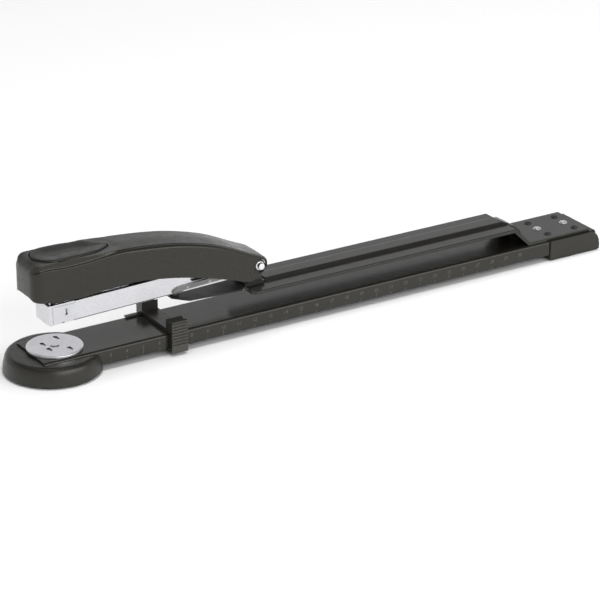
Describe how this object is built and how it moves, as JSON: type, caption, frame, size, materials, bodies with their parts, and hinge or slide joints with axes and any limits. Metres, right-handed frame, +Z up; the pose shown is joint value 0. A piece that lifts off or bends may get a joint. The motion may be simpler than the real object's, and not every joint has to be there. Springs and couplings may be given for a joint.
{
  "type": "long-reach stapler",
  "caption": "Long-reach stapler with a turning anvil plate, a sliding paper stop and a sprung magazine and handle on a riveted rear arm.",
  "frame": {"origin": "on the table, in the middle of the footprint", "axes": "+X runs along the base from the front tip to the riveted rear end, +Y is the side away from the viewer, +Z is up"},
  "size_m": [0.381, 0.0548, 0.0672],
  "materials": {
    "base_paint": "satin black stove enamel",
    "arm_paint": "satin black stove enamel",
    "foot_plastic": "fine grain black",
    "pad_rubber": "matt black",
    "handle_plastic": "fine grain black",
    "thumb_plastic": "smooth black",
    "nickel": "bright nickel plate",
    "zinc": "dull zinc plate",
    "steel": "bright steel",
    "spring_steel": "spring wire",
    "leaf_steel": "blackened spring steel",
    "staple_wire": "galvanised wire"
  },
  "bodies": {
    "base": {"base_channel": "base_paint", "front_foot": "foot_plastic", "front_foot_pad": "pad_rubber", "rear_foot": "foot_plastic", "rear_foot_pad": "pad_rubber", "arm_plate": "arm_paint", "arm_rivets": "nickel", "arm_screws": "leaf_steel", "hinge_bracket": "arm_paint", "bracket_rivets": "leaf_steel", "hinge_pin": "nickel", "pin_clips": "leaf_steel", "lift_spring": "leaf_steel"},
    "anvil": {"anvil_plate": "nickel", "anvil_rivet": "steel", "anvil_washer": "spring_steel"},
    "stop": {"paper_stop": "foot_plastic"},
    "magazine": {"magazine_channel": "nickel", "magazine_head": "nickel", "magazine_carrier": "zinc", "carrier_rivets": "zinc", "lift_pad": "pad_rubber", "staple_rail": "steel", "staple_strip": "staple_wire", "spring_rod": "steel", "follower_spring": "spring_steel", "return_spring": "spring_steel"},
    "follower": {"follower": "foot_plastic"},
    "handle": {"handle_cover": "handle_plastic", "thumb_pad": "thumb_plastic", "handle_frame": "zinc", "driver_blade": "steel", "driver_rivets": "steel", "cover_screws": "steel"}
  },
  "joints": [
    {"name": "anvil_turn", "type": "hinge", "parent": "base", "child": "anvil", "pos_m": [-0.16188, 0, 0.0125], "axis": [0, 0, 1], "range_deg": [0, 180]},
    {"name": "paper_stop_slide", "type": "slide", "parent": "base", "child": "stop", "axis": [1, 0, 0], "range_m": [-0.0385, 0.22]},
    {"name": "magazine_pivot", "type": "hinge", "parent": "base", "child": "magazine", "pos_m": [-0.0409, 0, 0.038], "axis": [0, 1, 0], "range_deg": [-6.6, 0], "stiffness_Nm_per_rad": 1.5, "springref_deg": 11.46, "deforming": ["lift_spring"]},
    {"name": "handle_pivot", "type": "hinge", "parent": "magazine", "child": "handle", "pos_m": [-0.0409, 0, 0.038], "axis": [0, 1, 0], "range_deg": [-3.4, 60], "stiffness_Nm_per_rad": 3, "springref_deg": 0.56, "deforming": ["return_spring"]},
    {"name": "follower_slide", "type": "slide", "parent": "magazine", "child": "follower", "axis": [0.9996, 0, 0.0269], "range_m": [0, 0.035], "stiffness_N_per_m": 60, "springref_m": -0.05, "deforming": ["follower_spring"]}
  ]
}
